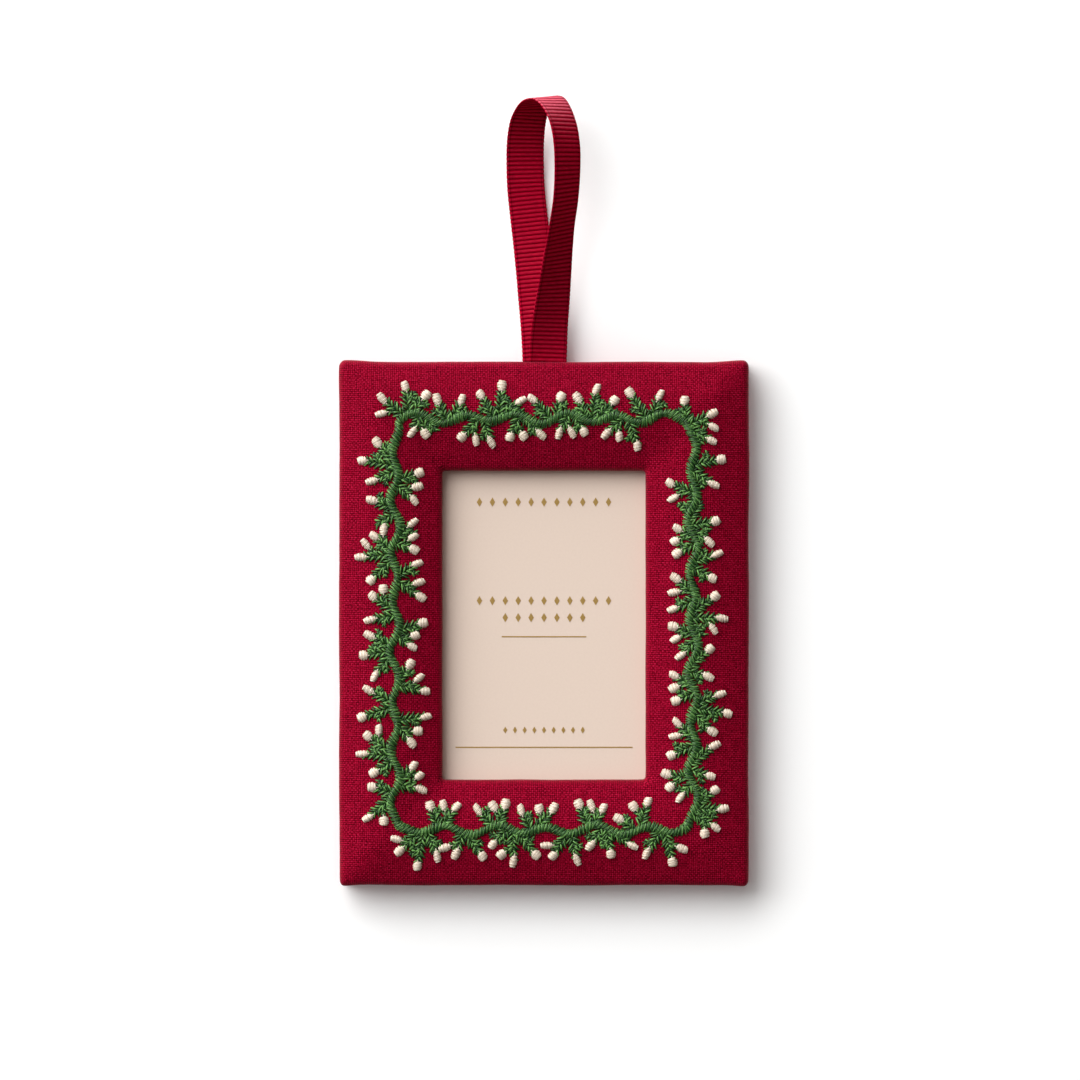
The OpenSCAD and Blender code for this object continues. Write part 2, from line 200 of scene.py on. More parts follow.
bpy.ops.object.mode_set(mode="OBJECT")


def srgb(code):
    """A colour's sRGB hex code as linear red, green, blue and alpha."""
    parts = [int(code[i : i + 2], 16) / 255 for i in (1, 3, 5)]
    return [c / 12.92 if c <= 0.04045 else ((c + 0.055) / 1.055) ** 2.4 for c in parts] + [1]


def add_node(tree, kind, settings=None, **inputs):
    """Adds a node with its settings, and sets or links its inputs by name or by number."""
    node = tree.nodes.new("ShaderNode" + kind)
    for name, value in (settings or {}).items():
        setattr(node, name, value)
    for name, value in inputs.items():
        socket = node.inputs[int(name[1:])] if name[1:].isdigit() else node.inputs[name.replace("_", " ")]
        if isinstance(value, bpy.types.NodeSocket):
            tree.links.new(value, socket)
        else:
            socket.default_value = value
    return node


rgba = {"data_type": "RGBA"}
flat = {"noise_dimensions": "2D"}


def new_material(name):
    """An empty material with its output node, and its node tree."""
    material = bpy.data.materials.new(name)
    material.use_nodes = True
    material.node_tree.nodes.clear()
    return material, material.node_tree


# Grosgrain: polyester yarn with a soft sheen on the ribs, and painted shade in the grooves between them.
# Fine warp threads, 0.28 mm apart, run over the ribs. The rib crests are coloured lighter, partly as lighter
# warp floats and partly as a painted highlight, and ribs that face up get a painted pink highlight for the
# bright room above. A dark seam runs inside each selvedge.
red_grosgrain, tree = new_material("red_grosgrain")
ribbon_map = add_node(tree, "UVMap", {"uv_map": "UVMap"})
split = add_node(tree, "SeparateXYZ", Vector=ribbon_map.outputs[0])
rib_wave = add_node(
    tree, "Math", {"operation": "MULTIPLY"}, _0=split.outputs[1], _1=math.pi / (rib_pitch * 1000)
)
rib_wave = add_node(tree, "Math", {"operation": "SINE"}, _0=rib_wave.outputs[0])
rib_wave = add_node(tree, "Math", {"operation": "ABSOLUTE"}, _0=rib_wave.outputs[0])
warp_wave = add_node(
    tree, "Math", {"operation": "MULTIPLY"}, _0=split.outputs[0], _1=2 * math.pi / (warp_pitch * 1000)
)
warp_wave = add_node(tree, "Math", {"operation": "SINE"}, _0=warp_wave.outputs[0])
yarn = add_node(
    tree, "TexNoise", flat,
    Vector=add_node(tree, "Mapping", None, Vector=ribbon_map.outputs[0], Scale=(0.5, 2.2, 1)).outputs[0],
    Scale=1.6, Detail=3.0,
)
# Painted shade: the rib colour runs from dark red in the grooves to red on the ribs.
groove_shade = add_node(tree, "MapRange", None, Value=rib_wave.outputs[0], From_Min=0.05, From_Max=0.75)
shade = add_node(
    tree, "MapRange", None, Value=yarn.outputs[0], From_Min=0.3, From_Max=0.7, To_Min=0.82, To_Max=1.12
)
rib_colour = add_node(tree, "Mix", rgba, _0=groove_shade.outputs[0], _6=srgb("#50000E"), _7=srgb("#A60427"))
# Rib crests are coloured lighter pink: partly lighter warp floats, partly a painted highlight.
crest_highlight = add_node(
    tree, "MapRange", None, Value=rib_wave.outputs[0], From_Min=0.88, From_Max=1.0, To_Max=0.28
)
highlit_colour = add_node(
    tree, "Mix", rgba, _0=crest_highlight.outputs[0], _6=rib_colour.outputs[2], _7=srgb("#CC3452")
)
# Painted highlight: rib flanks that face up are coloured pink, as if lit by the bright room above.
surface = add_node(tree, "NewGeometry")
normal = add_node(tree, "SeparateXYZ", Vector=surface.outputs["Normal"])
painted_sky_highlight = add_node(
    tree, "MapRange", {"interpolation_type": "SMOOTHSTEP"}, Value=normal.outputs[2],
    From_Min=0.15, From_Max=0.85, To_Max=0.8,
)
on_rib = add_node(
    tree, "MapRange", None, Value=rib_wave.outputs[0], From_Min=0.45, From_Max=0.95, To_Min=0.2
)
painted_sky_highlight = add_node(tree, "Math", {"operation": "MULTIPLY"}, _0=painted_sky_highlight.outputs[0], _1=on_rib.outputs[0])
highlit_colour = add_node(
    tree, "Mix", rgba, _0=painted_sky_highlight.outputs[0], _6=highlit_colour.outputs[2], _7=srgb("#E8788C")
)
seam = add_node(tree, "Math", {"operation": "ABSOLUTE"}, _0=split.outputs[0])
seam = add_node(
    tree, "Math", {"operation": "SUBTRACT"}, _0=seam.outputs[0],
    _1=(ribbon_width / 2 - selvedge_width) * 1000,
)
seam = add_node(tree, "Math", {"operation": "ABSOLUTE"}, _0=seam.outputs[0])
seam = add_node(tree, "MapRange", None, Value=seam.outputs[0], From_Min=0.03, From_Max=0.16, To_Min=0.45)
shade = add_node(tree, "Math", {"operation": "MULTIPLY"}, _0=shade.outputs[0], _1=seam.outputs[0])
yarn_colour = add_node(
    tree, "Mix", {"data_type": "RGBA", "blend_type": "MULTIPLY"}, _0=1.0,
    _6=highlit_colour.outputs[2], _7=shade.outputs[0],
)
bump = add_node(tree, "Bump", None, Strength=0.35, Distance=0.00004, Height=warp_wave.outputs[0])
cloth = add_node(
    tree, "BsdfPrincipled", None, Base_Color=yarn_colour.outputs[2], Roughness=0.36, Metallic=0.25,
    Specular_IOR_Level=0.0, Specular_Tint=srgb("#FF2A4C"), Normal=bump.outputs[0],
)
add_node(tree, "OutputMaterial", None, Surface=cloth.outputs[0])
ribbon.data.materials.append(red_grosgrain)
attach(ribbon, "root")
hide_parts("hanging_ribbon")

# The back board and the spacer between the boards are solid greyboard: grey-brown pulp
# with specks, cut clean. Only the spacer's edges are seen, between the two covers.
greyboard, tree = new_material("greyboard")
place = add_node(tree, "TexCoord")
specks = add_node(tree, "TexNoise", None, Vector=place.outputs["Object"], Scale=2500.0, Detail=2.0)
pulp = add_node(tree, "TexNoise", None, Vector=place.outputs["Object"], Scale=300.0, Detail=4.0)
tone = add_node(tree, "Mix", rgba, _0=pulp.outputs[0], _6=srgb("#A79E91"), _7=srgb("#BDB4A6"))
dots = add_node(tree, "MapRange", None, Value=specks.outputs[0], From_Min=0.66, From_Max=0.72)
tone = add_node(tree, "Mix", rgba, _0=dots.outputs[0], _6=tone.outputs[2], _7=srgb("#6E665C"))
bump = add_node(tree, "Bump", None, Strength=0.3, Distance=0.00006, Height=specks.outputs[0])
board = add_node(
    tree, "BsdfPrincipled", None, Base_Color=tone.outputs[2], Roughness=0.9, Specular_IOR_Level=0.15,
    Normal=bump.outputs[0],
)
add_node(tree, "OutputMaterial", None, Surface=board.outputs[0])
for name in ("spacer", "back_board"):
    node = bpy.data.objects[name]
    node.data.materials.clear()
    node.data.materials.append(greyboard)

# The front board is greyboard with the window cut out and a thin wad glued on its face.
# The face slopes up from all its edges to a soft ridge, which the stitches of the vine
# pull in a little. The linen and the embroidery follow it.
cover_low, cover_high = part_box("front_cover")
board_low, board_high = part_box("front_board")
window_half = 0.0242
window_low = 0.0251
window_high = 0.0987
cloth_thickness = 0.0005
board_roll = 0.0011
board_step = 0.0031
# The pad's corners blend over this width, and the pad sets in between these two depths
corner_blend = 0.004
pad_start = 0.0008
pad_full = 0.0031
ridge_in = 0.0126
ridge_rise = 0.0014
ridge_slope = 0.27
ridge_round = 0.003
valley_depth = 0.0004
valley_width = 0.004


def pad_height(x, z):
    """How far the padded face stands in front of the flat board's, at these places."""
    side = cover_high.x - np.abs(x)
    end = cover_high.z / 2 - np.abs(z - cover_high.z / 2)
    blend = np.clip(0.5 + (side - end) / corner_blend, 0, 1)
    inward = side + (end - side) * blend - corner_blend / 4 * blend * (1 - blend)
    ridge = ridge_rise - ridge_slope * (np.sqrt((inward - ridge_in) ** 2 + ridge_round**2) - ridge_round)
    return ridge - valley_depth * np.exp(-(((inward - ridge_in) / valley_width) ** 2))


def smooth_step(value, low, high):
    """0 up to the low value and 1 from the high one on, with a smooth rise between them."""
    t = min(1, max(0, (value - low) / (high - low)))
    return t * t * (3 - 2 * t)


def pick(piece, kind, test):
    """In edit mode, selects only those vertices, edges or faces whose middle passes the test."""
    bpy.ops.mesh.select_mode(type=kind)
    bpy.ops.mesh.select_all(action="DESELECT")
    bm = bmesh.from_edit_mesh(piece.data)
    for part in {"VERT": bm.verts, "EDGE": bm.edges, "FACE": bm.faces}[kind]:
        points = [part.co] if kind == "VERT" else [v.co for v in part.verts]
        if test(sum(points, Vector()) / len(points)):
            part.select_set(True)
    bm.select_flush_mode()
    bmesh.update_edit_mesh(piece.data)


def cut_across(axis, places):
    """In edit mode, cuts the whole piece across one axis at each of the places."""
    for place in places:
        where, normal = Vector(), Vector()
        where[axis], normal[axis] = place, 1
        bpy.ops.mesh.select_all(action="SELECT")
        bpy.ops.mesh.bisect(plane_co=where, plane_no=normal)


def between(low, high, step):
    """Even places between two ends, without the ends."""
    return np.linspace(low, high, max(1, round((high - low) / step)) + 1)[1:-1]


# Places closer to each other than this are the same
hair = 1e-5


def near(a, b):
    """Whether two places are the same to a hair."""
    return abs(a - b) < hair


def new_block(name, low, high):
    """A block of the given box, in edit mode."""
    bpy.ops.object.select_all(action="DESELECT")
    bpy.ops.mesh.primitive_cube_add(size=1, location=(Vector(low) + Vector(high)) / 2)
    block = bpy.context.object
    block.name = name
    block.scale = Vector(high) - Vector(low)
    bpy.ops.object.transform_apply(location=True, rotation=True, scale=True)
    bpy.ops.object.mode_set(mode="EDIT")
    return block


def cut_window(piece, low, high, grow):
    """In edit mode, cuts the window through the piece, wider by grow on every side."""
    cut_across(0, (-window_half - grow, window_half + grow))
    cut_across(2, (window_low - grow, window_high + grow))
    pick(piece, "FACE", lambda m: abs(m.x) < window_half and window_low < m.z < window_high
         and (near(m.y, low.y) or near(m.y, high.y)))
    bpy.ops.mesh.delete(type="FACE")
    bpy.ops.mesh.select_mode(type="EDGE")
    bpy.ops.mesh.select_non_manifold()
    bpy.ops.mesh.bridge_edge_loops()


def on_rim(m, y, high, grow, slack):
    """Whether an edge's middle lies on the outer or the window's outline at this depth."""
    outside = max(abs(m.x) - high.x, cover_high.z - high.z - m.z, m.z - high.z) > -slack
    reach = grow + hair
    inside = abs(m.x) < window_half + reach and window_low - reach < m.z < window_high + reach
    return near(m.y, y) and (outside or inside)


padded_board = new_block("padded_front_board", board_low, board_high)
cut_window(padded_board, board_low, board_high, cloth_thickness)
pick(padded_board, "EDGE", lambda m: on_rim(m, board_low.y, board_high, cloth_thickness, 2 * hair))
bpy.ops.mesh.bevel(offset=board_roll, segments=2, affect="EDGES")
rolled = cloth_thickness + board_roll
cut_across(0, [*between(-board_high.x + board_roll, -window_half - rolled, board_step),
               *between(window_half + rolled, board_high.x - board_roll, board_step)])
cut_across(2, [*between(board_low.z + board_roll, window_low - rolled, board_step),
               *between(window_high + rolled, board_high.z - board_roll, board_step)])
bpy.ops.object.mode_set(mode="OBJECT")
for v in padded_board.data.vertices:
    v.co.y -= pad_height(v.co.x, v.co.z) * smooth_step(-v.co.y, pad_start, pad_full)
padded_board.data.materials.append(greyboard)
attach(padded_board, "root")
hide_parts("front_board")

# The front cover is one piece of crimson linen, glued over the face, around the outer
# edges and through the window, and turned in behind. It rolls over every edge, and its
# folded corners stand a little proud at the top and the bottom.
edge_roll = 0.00135
corner_roll = 0.0015
window_corner_roll = 0.0007
back_roll = 0.0004
cloth_step = 0.0024
thread_pitch = 0.0005
# The outer edges wander from one to the other of these places on the sides, and from
# this far inside at the ends
side_rim = (0.0462, 0.0487)
rim_width = 0.0025
slow_wander = 0.00022
fast_wander = 0.00008
slow_swell = 0.00008
fast_swell = 0.00005
# The corners stand proud between these places on either side, from this far inside
ear_height = 0.0004
ear_reach = 0.004
top_ears = (0.039, 0.0475)
bottom_ears = (0.0435, 0.048)
bottom_share = 0.8
top_lift = 0.25
# The window's walls wander this far, and this near the window
wall_wander = 0.0001
wall_reach = 0.004
# The depths that the walls are cut at, and how far inside the outline round corners lie
wall_cuts = (-0.0019, -0.0008)
corner_slack = corner_roll * 0.35


def lay_linen(piece, middle_y, face_y, window):
    """Subdivides the cloth, lets it wander as glued cloth does, and lays UV in metres along
    its threads: over the face, and on around the edges."""
    bpy.ops.object.mode_set(mode="OBJECT")
    top = cover_high.z
    for v in piece.data.vertices:
        x, y, z = v.co
        slow = noise.noise(Vector((x * 55, y * 90 + 3.1, z * 55)))
        fast = noise.noise(Vector((x * 230 + 7, y * 230, z * 230)))
        at_side = smooth_step(abs(x), *side_rim)
        at_end = max(smooth_step(z, top - rim_width, top), smooth_step(-z, -rim_width, 0))
        is_side = abs(x) > abs(z - top / 2) - (top / 2 - cover_high.x)
        side = Vector((x, 0, 0)) if is_side else Vector((0, 0, z - top / 2))
        v.co += side.normalized() * max(at_side, at_end) * (slow_wander * slow + fast_wander * fast)
        v.co.y += (slow_swell * slow + fast_swell * fast) * (1 if y < middle_y else 0)
        if window:
            v.co.y -= pad_height(x, z) * smooth_step(-y, pad_start, pad_full)
        if z > top / 2:
            ear = smooth_step(abs(x), *top_ears) + top_lift
            v.co.z += ear_height * smooth_step(z, top - ear_reach, top) * ear
        else:
            ear = bottom_share * smooth_step(abs(x), *bottom_ears)
            v.co.z -= ear_height * smooth_step(-z, -ear_reach, 0) * ear
        near_x = abs(x) < window_half + wall_reach
        if window and near_x and window_low - wall_reach < z < window_high + wall_reach:
            v.co.x += wall_wander * noise.noise(Vector((x * 30, 5.5, z * 160)))
            v.co.z += wall_wander * noise.noise(Vector((x * 160, 9.5, z * 30)))
    bpy.ops.object.modifier_add(type="SUBSURF")
    piece.modifiers[-1].levels = piece.modifiers[-1].render_levels = 1
    bpy.ops.object.modifier_apply(modifier=piece.modifiers[-1].name)
    piece.data.shade_smooth()
    layer = piece.data.uv_layers["UVMap"]
    normals = [v.normal.copy() for v in piece.data.vertices]
    for loop in piece.data.loops:
        p, n = piece.data.vertices[loop.vertex_index].co, normals[loop.vertex_index]
        layer.data[loop.index].uv = (p.x + n.x * (p.y - face_y), p.z + n.z * (p.y - face_y))


front_cloth = new_block("linen_front_cover", cover_low, cover_high)
cut_window(front_cloth, cover_low, cover_high, 0)
middle_y = (cover_low.y + cover_high.y) / 2
pick(front_cloth, "EDGE", lambda m: near(abs(m.x), cover_high.x) and near(m.y, middle_y)
     and (near(m.z, 0) or near(m.z, cover_high.z)))
bpy.ops.mesh.bevel(offset=corner_roll, segments=4, affect="EDGES")
pick(front_cloth, "EDGE", lambda m: near(abs(m.x), window_half) and near(m.y, middle_y)
     and (near(m.z, window_low) or near(m.z, window_high)))
bpy.ops.mesh.bevel(offset=window_corner_roll, segments=3, affect="EDGES")
pick(front_cloth, "EDGE", lambda m: on_rim(m, cover_low.y, cover_high, 0, corner_slack))
bpy.ops.mesh.bevel(offset=edge_roll, segments=4, affect="EDGES")
pick(front_cloth, "EDGE", lambda m: on_rim(m, cover_high.y, cover_high, 0, corner_slack))
bpy.ops.mesh.bevel(offset=back_roll, segments=2, affect="EDGES")
cut_across(0, [*between(-cover_high.x + corner_roll, -window_half - edge_roll, cloth_step),
               *between(-window_half + window_corner_roll, window_half - window_corner_roll, cloth_step),
               *between(window_half + edge_roll, cover_high.x - corner_roll, cloth_step)])
cut_across(2, [*between(corner_roll, window_low - edge_roll, cloth_step),
               *between(window_low + window_corner_roll, window_high - window_corner_roll, cloth_step),
               *between(window_high + edge_roll, cover_high.z - corner_roll, cloth_step)])
cut_across(1, wall_cuts)
lay_linen(front_cloth, middle_y, cover_low.y, True)

# Linen in plain weave: threads of uneven thickness and tone, 0.5 mm apart, cross over and
# under, with painted shade in the gaps between them, so that the cloth looks grainy and deep
# red. Its fine fibres catch the light a little at a low angle.
crimson_linen, tree = new_material("crimson_linen")
cloth_map = add_node(tree, "UVMap", {"uv_map": "UVMap"})
wander = add_node(tree, "TexNoise", flat, Vector=cloth_map.outputs[0], Scale=420.0, Detail=2.0)
wander = add_node(tree, "VectorMath", {"operation": "SUBTRACT"}, _0=wander.outputs[1], _1=(0.5, 0.5, 0.5))
wander = add_node(tree, "VectorMath", {"operation": "SCALE"}, _0=wander.outputs[0], Scale=thread_pitch * 0.55)
laid = add_node(tree, "VectorMath", {"operation": "ADD"}, _0=cloth_map.outputs[0], _1=wander.outputs[0])
laid = add_node(tree, "VectorMath", {"operation": "SCALE"}, _0=laid.outputs[0], Scale=1 / thread_pitch)
parts = add_node(tree, "SeparateXYZ", Vector=laid.outputs[0])


def thread_height(across, along, over):
    """The height of one set of threads: round across, and up and down along its way."""
    across = add_node(tree, "Math", {"operation": "MULTIPLY"}, _0=across, _1=math.pi)
    across = add_node(tree, "Math", {"operation": "SINE"}, _0=across.outputs[0])
    along = add_node(tree, "Math", {"operation": "MULTIPLY"}, _0=along, _1=math.pi)
    along = add_node(tree, "Math", {"operation": "SINE"}, _0=along.outputs[0])
    rise = add_node(tree, "Math", {"operation": "SIGN"}, _0=across.outputs[0])
    rise = add_node(tree, "Math", {"operation": "MULTIPLY"}, _0=rise.outputs[0], _1=along.outputs[0])
    rise = add_node(tree, "Math", {"operation": "MULTIPLY_ADD"}, _0=rise.outputs[0], _1=0.4 * over, _2=0.6)
    girth = add_node(tree, "Math", {"operation": "ABSOLUTE"}, _0=across.outputs[0])
    girth = add_node(tree, "Math", {"operation": "POWER"}, _0=girth.outputs[0], _1=0.55)
    height = add_node(tree, "Math", {"operation": "MULTIPLY"}, _0=girth.outputs[0], _1=rise.outputs[0])
    return height.outputs[0]


def thread_tone(across, along, seed):
    """An uneven tone for each thread, changing slowly along it."""
    number = add_node(tree, "Math", {"operation": "FLOOR"}, _0=across)
    number = add_node(tree, "Math", {"operation": "ADD"}, _0=number.outputs[0], _1=seed)
    slowly = add_node(tree, "Math", {"operation": "MULTIPLY"}, _0=along, _1=0.2)
    where = add_node(tree, "CombineXYZ", X=number.outputs[0], Y=slowly.outputs[0])
    tone = add_node(tree, "TexNoise", flat, Vector=where.outputs[0], Scale=0.73, Detail=2.0)
    return tone.outputs[0]


warp = thread_height(parts.outputs[0], parts.outputs[1], 1)
weft = thread_height(parts.outputs[1], parts.outputs[0], -1)
weave = add_node(tree, "Math", {"operation": "MAXIMUM"}, _0=warp, _1=weft)
warp_on_top = add_node(tree, "Math", {"operation": "GREATER_THAN"}, _0=warp, _1=weft)
tones = add_node(
    tree, "Mix", None, _0=warp_on_top.outputs[0],
    _2=thread_tone(parts.outputs[1], parts.outputs[0], 31.7),
    _3=thread_tone(parts.outputs[0], parts.outputs[1], 3.3),
)
grain = add_node(tree, "TexNoise", flat, Vector=cloth_map.outputs[0], Scale=2300.0, Detail=1.0)
# Painted shade: threads are coloured lightest on top and darkest in the gaps between them.
# They are also uneven in tone and grainy, and where the warp lies on top it is a little darker, a painted
# difference in sheen.
painted_shade_and_tone = add_node(tree, "Math", {"operation": "MULTIPLY_ADD"}, _0=weave.outputs[0], _1=1.05, _2=-0.6)
for pattern, share in ((tones, 0.5), (warp_on_top, -0.15), (grain, 0.7)):
    painted_shade_and_tone = add_node(
        tree, "Math", {"operation": "MULTIPLY_ADD"}, _0=pattern.outputs[0], _1=share, _2=painted_shade_and_tone.outputs[0]
    )
colours = add_node(tree, "ValToRGB", None, Fac=painted_shade_and_tone.outputs[0])
ramp = colours.color_ramp
ramp.elements[0].position, ramp.elements[0].color = 0.25, srgb("#2C0008")
ramp.elements[1].position, ramp.elements[1].color = 1.0, srgb("#AE173C")
for position, code in ((0.5, "#6B0017"), (0.75, "#920222")):
    ramp.elements.new(position).color = srgb(code)
bump = add_node(tree, "Bump", None, Strength=0.6, Distance=0.00012, Height=weave.outputs[0])
linen = add_node(
    tree, "BsdfPrincipled", None, Base_Color=colours.outputs[0], Roughness=0.5, Metallic=0.2,
    Specular_IOR_Level=0.12, Specular_Tint=srgb("#FF5A7C"), Sheen_Weight=0.2, Sheen_Roughness=0.35,
    Sheen_Tint=srgb("#FF8FA8"), Normal=bump.outputs[0],
)
add_node(tree, "OutputMaterial", None, Surface=linen.outputs[0])
front_cloth.data.materials.append(crimson_linen)
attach(front_cloth, "root")
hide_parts("front_cover")

# The vine's stem is one row of satin stitches in green cotton thread, sewn side by side
# and slanted, over a wavy line around the window. Every stitch is an arch of thread from
# one side of the stem to the other.
vine_width = 0.0707
vine_height = 0.0977
vine_corner = 0.002
stem_width = 0.0024
wave_height = 0.0012
waves = 28
slow_waves = 17
stem_stitch_pitch = 0.00031
stem_rise = 0.00078
thread_radius = 0.00024
stem_slant = 20
# A stitch takes its direction from this much of the stem on both sides
stitch_reach = 0.0004
# A thread's radius as a share of its arch's, and how deep its ends lie in the cloth
thread_share = 0.24
stitch_sink = 0.00025
run_x = vine_width - 2 * vine_corner
run_y = vine_height - 2 * vine_corner
bend = math.pi / 2 * vine_corner
side_starts = [0, run_x + bend, run_x + run_y + 2 * bend, 2 * run_x + run_y + 3 * bend]
vine_length = 2 * (run_x + run_y) + 4 * bend
frame_middle = cover_high.z / 2


def sin_of(degrees):
    """The sine of an angle in degrees."""
    return math.sin(math.radians(degrees))


def cos_of(degrees):
    """The cosine of an angle in degrees."""
    return math.cos(math.radians(degrees))


def vary(i, k):
    """An uneven number from -1 to 1, always the same for the same i and k."""
    return sin_of(137.5 * i + 71 * k)


def line_at(s):
    """The middle line's place, and the direction outwards from the window in degrees."""
    u = s % vine_length
    side = sum(u >= start for start in side_starts) - 1
    along = u - side_starts[side]
    run, reach = (run_x, vine_height / 2) if side % 2 == 0 else (run_y, vine_width / 2)
    turn = math.degrees(max(0, along - run) / vine_corner)
    x = min(along, run) - run / 2 + vine_corner * sin_of(turn)
    y = reach - vine_corner + vine_corner * cos_of(turn)
    c, s = cos_of(-90 * side), sin_of(-90 * side)
    return x * c - y * s, x * s + y * c, 90 - turn - 90 * side


def stem_at(s):
    """The stem's place: the middle line with its waves."""
    x, y, outward = line_at(s)
    out = wave_height * (
        0.8 * sin_of(360 * waves * s / vine_length) + 0.3 * sin_of(360 * slow_waves * s / vine_length + 50)
    )
    return np.array([x + out * cos_of(outward), y + out * sin_of(outward)])


def new_stitch(cuts_along, cuts_around):
    """One stitch, which all stitches of a thread repeat: half a ring of round thread with its
    two ends in the cloth, one unit in radius outside."""
    bpy.ops.object.select_all(action="DESELECT")
    bpy.ops.mesh.primitive_torus_add(
        major_segments=2 * cuts_along, minor_segments=cuts_around, major_radius=1 - thread_share,
        minor_radius=thread_share, rotation=(math.pi / 2, 0, 0),
    )
    bpy.ops.object.transform_apply(location=True, rotation=True, scale=True)
    ring = bpy.context.object
    bpy.ops.object.mode_set(mode="EDIT")
    bpy.ops.mesh.select_all(action="SELECT")
    bpy.ops.mesh.bisect(plane_co=(0, 0, 0), plane_no=(0, 0, 1), clear_inner=True)
    bpy.ops.object.mode_set(mode="OBJECT")
    points = np.array([v.co for v in ring.data.vertices])
    faces = np.array([f.vertices for f in ring.data.polygons])
    bpy.data.objects.remove(ring)
    outwards = np.hypot(points[:, 0], points[:, 2]) - (1 - thread_share)
    around = np.arctan2(points[:, 1], outwards) / math.pi
    return points, faces, np.arctan2(points[:, 2], points[:, 0]) / math.pi, around


def sew(name, stitch, stitches):
    """One piece of embroidery. A stitch is its middle on the cloth, its direction in degrees,
    its length, its height, its thread's radius and its tone from 0 to 1. The crest attribute
    is 1 along the top of a thread and 0 where it lies on the cloth."""
    arch, arch_faces, arch_along, arch_around = stitch
    points, tones, uv = [], [], []
    for x, y, angle, length, height, radius, tone in stitches:
        c, s = cos_of(angle), sin_of(angle)
        along = arch[:, 0] * length / 2
        across = arch[:, 1] * radius / thread_share
        up = arch[:, 2] * (height + stitch_sink) - stitch_sink
        over = x + along * c - across * s
        high = frame_middle + y + along * s + across * c
        points.append(np.stack([over, linen_face - pad_height(over, high) - up, high], 1))
        tones.append(np.full(len(arch), tone))
        uv.append(np.stack([arch_along * length * 1000, arch_around * radius * 3000], 1))
    count = len(arch)
    faces = np.concatenate([arch_faces + i * count for i in range(len(stitches))])
    piece = new_mesh_piece(name, np.concatenate(points), faces.tolist(), np.concatenate(uv))
    piece.data.attributes.new("tone", "FLOAT", "POINT").data.foreach_set("value", np.concatenate(tones))
    crest = np.tile(0.5 + 0.5 * np.cos(math.pi * arch_around), len(stitches))
    piece.data.attributes.new("crest", "FLOAT", "POINT").data.foreach_set("value", crest)
    return piece


stem_stitches = []
stem_count = round(vine_length / stem_stitch_pitch)
for i in range(stem_count):
    s = i * vine_length / stem_count
    x, y = stem_at(s)
    way = stem_at(s + stitch_reach) - stem_at(s - stitch_reach)
    angle = math.degrees(math.atan2(way[1], way[0]))
    slant = angle + 90 - stem_slant + 9 * vary(i, 9) + 11 * vary(i / 11, 4)
    wide = stem_width * (1.16 + 0.12 * vary(i / 9, 2) + 0.1 * vary(i, 6))
    stem_stitches.append((
        x, y, slant, wide, stem_rise * (1 + 0.14 * vary(i, 3)), thread_radius * (0.8 + 0.1 * vary(i, 8)),
        0.5 + 0.35 * vary(i, 1) + 0.15 * vary(i / 7, 5),
    ))
stem = sew("stem_stitches", new_stitch(6, 5), stem_stitches)


